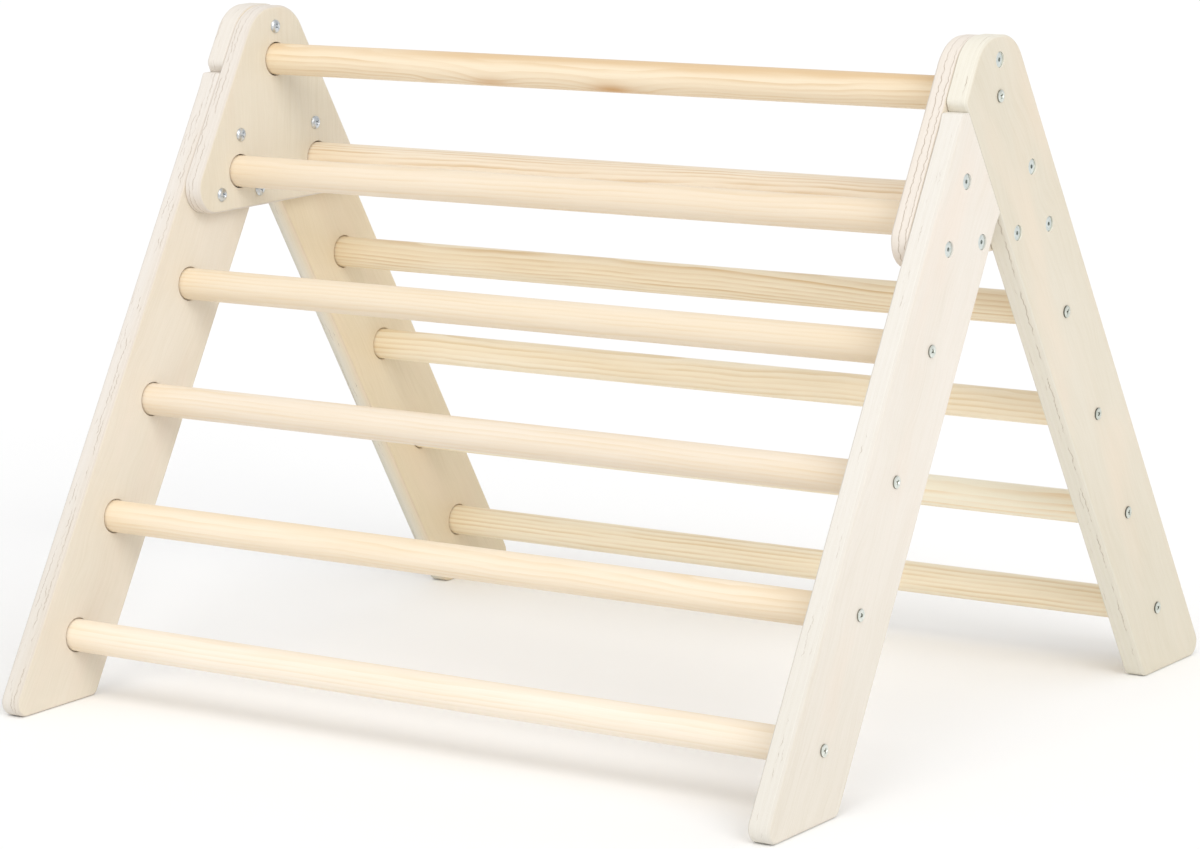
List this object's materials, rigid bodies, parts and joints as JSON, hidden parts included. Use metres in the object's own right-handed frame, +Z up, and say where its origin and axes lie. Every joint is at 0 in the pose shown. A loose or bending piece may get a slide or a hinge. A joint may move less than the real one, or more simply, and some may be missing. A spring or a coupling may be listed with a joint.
{
  "type": "climbing triangle",
  "caption": "Rigid A-frame climbing triangle for small children: plywood legs butted at the apex and bolted to gusset plates, joined by round pine rungs up both slopes.",
  "frame": {"origin": "on the floor, under the middle of the top rung, at the centre of the four feet", "axes": "+X along the rungs towards the right-hand end frame, seen from the front; -Y towards the front ladder; +Z up"},
  "size_m": [0.8368, 0.7654, 0.6235],
  "materials": {
    "plywood_legs": "clear satin lacquer on pale birch plywood, ply lines on the edges",
    "plywood_gussets": "clear satin lacquer on pale birch plywood, ply lines on the edges",
    "pine_rungs": "clear satin lacquer on turned pine, long grain",
    "zinc_bolts": "bright zinc plate",
    "zinc_sleeve_nuts": "bright zinc plate",
    "zinc_screws": "bright zinc plate"
  },
  "bodies": {
    "root": {"left_rear_leg": "plywood_legs", "left_front_leg": "plywood_legs", "left_gusset_plate": "plywood_gussets", "right_rear_leg": "plywood_legs", "right_front_leg": "plywood_legs", "right_gusset_plate": "plywood_gussets", "top_rung": "pine_rungs", "front_rung_1": "pine_rungs", "front_rung_2": "pine_rungs", "front_rung_3": "pine_rungs", "front_rung_4": "pine_rungs", "front_rung_5": "pine_rungs", "rear_rung_1": "pine_rungs", "rear_rung_2": "pine_rungs", "rear_rung_3": "pine_rungs", "rear_rung_4": "pine_rungs", "rear_rung_5": "pine_rungs", "left_front_bolts": "zinc_bolts", "left_front_sleeve_nuts": "zinc_sleeve_nuts", "left_front_rung_screws": "zinc_screws", "left_rear_bolts": "zinc_bolts", "left_rear_sleeve_nuts": "zinc_sleeve_nuts", "left_rear_rung_screws": "zinc_screws", "left_top_rung_screw": "zinc_screws", "right_front_bolts": "zinc_bolts", "right_front_sleeve_nuts": "zinc_sleeve_nuts", "right_front_rung_screws": "zinc_screws", "right_rear_bolts": "zinc_bolts", "right_rear_sleeve_nuts": "zinc_sleeve_nuts", "right_rear_rung_screws": "zinc_screws", "right_top_rung_screw": "zinc_screws"}
  },
  "joints": []
}
